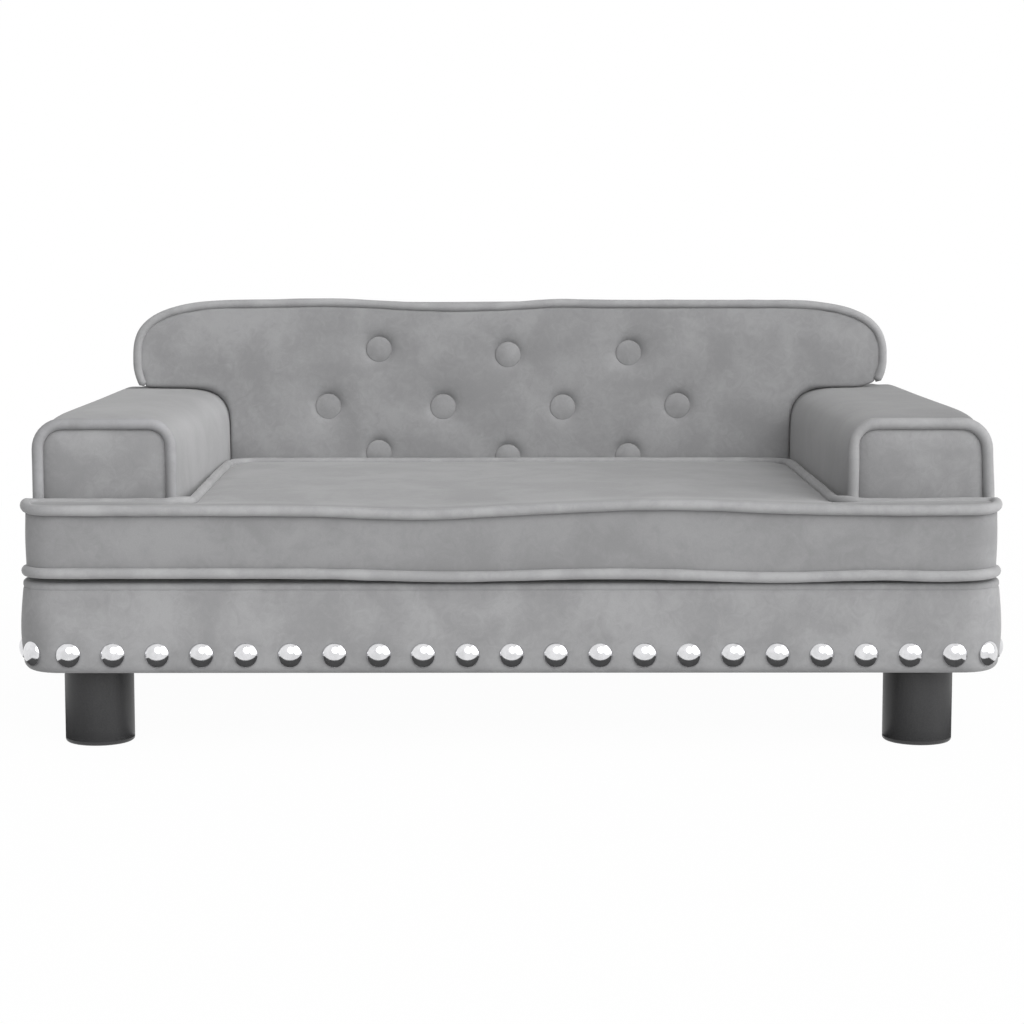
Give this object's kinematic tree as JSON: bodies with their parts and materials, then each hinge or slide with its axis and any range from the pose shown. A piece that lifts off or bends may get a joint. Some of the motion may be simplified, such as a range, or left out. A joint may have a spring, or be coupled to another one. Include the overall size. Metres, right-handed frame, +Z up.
{
  "type": "dog sofa bed",
  "caption": "Low upholstered sofa bed for a dog: piped T-shaped seat cushion on a padded base with nail heads, square arms, button-tufted backrest and short round legs.",
  "frame": {"origin": "on the floor under the middle of the sofa", "axes": "+X to the right as seen from the front, +Y to the rear, +Z up"},
  "size_m": [0.7114, 0.4504, 0.31],
  "materials": {
    "velvet": "short-pile velvet",
    "velvet_piping": "velvet over a cord",
    "lining": "non-woven cloth",
    "foam": "polyurethane foam",
    "wadding": "polyester wadding",
    "board": "plywood and pine",
    "leg_plastic": "satin moulded",
    "steel": "zinc-plated",
    "nail_chrome": "polished",
    "zip": "nylon coil",
    "twine": "waxed cord"
  },
  "bodies": {
    "base": {"arm_screws": "steel", "backrest_band": "velvet", "backrest_board": "board", "backrest_bolts": "steel", "backrest_buttons": "velvet", "backrest_front_foam": "foam", "backrest_front_panel": "velvet", "backrest_piping": "velvet_piping", "backrest_rear_panel": "velvet", "backrest_rear_wadding": "wadding", "backrest_uprights": "board", "base_centre_rail": "board", "base_cover": "velvet", "base_front_rail": "board", "base_left_rail": "board", "base_padding": "wadding", "base_rear_rail": "board", "base_right_rail": "board", "button_twines": "twine", "button_washers": "steel", "corner_blocks": "board", "deck_board": "board", "deck_lining": "lining", "dust_cover": "lining", "left_arm_core_board": "board", "left_arm_cover": "velvet", "left_arm_facing": "velvet", "left_arm_foam": "foam", "left_arm_front_board": "board", "left_arm_piping": "velvet_piping", "left_arm_rear_board": "board", "leg_bolts": "steel", "leg_front_left": "leg_plastic", "leg_front_right": "leg_plastic", "leg_rear_left": "leg_plastic", "leg_rear_right": "leg_plastic", "leg_t_nuts": "steel", "nail_heads_front": "nail_chrome", "nail_heads_left": "nail_chrome", "nail_heads_right": "nail_chrome", "right_arm_core_board": "board", "right_arm_cover": "velvet", "right_arm_facing": "velvet", "right_arm_foam": "foam", "right_arm_front_board": "board", "right_arm_piping": "velvet_piping", "right_arm_rear_board": "board"},
    "cushion": {"cushion_foam": "foam", "cushion_top_panel": "velvet", "cushion_bottom_panel": "velvet", "cushion_band": "velvet", "cushion_top_piping": "velvet_piping", "cushion_bottom_piping": "velvet_piping", "zip_tape": "zip", "zip_coil": "zip", "zip_stops": "steel"},
    "zip_slider": {"zip_slider": "steel"}
  },
  "joints": [
    {"name": "cushion_lift", "type": "slide", "parent": "base", "child": "cushion", "axis": [0, 0, 1], "range_m": [0, 0.2]},
    {"name": "zip_slide", "type": "slide", "parent": "cushion", "child": "zip_slider", "axis": [-1, 0, 0], "range_m": [0, 0.4]}
  ]
}
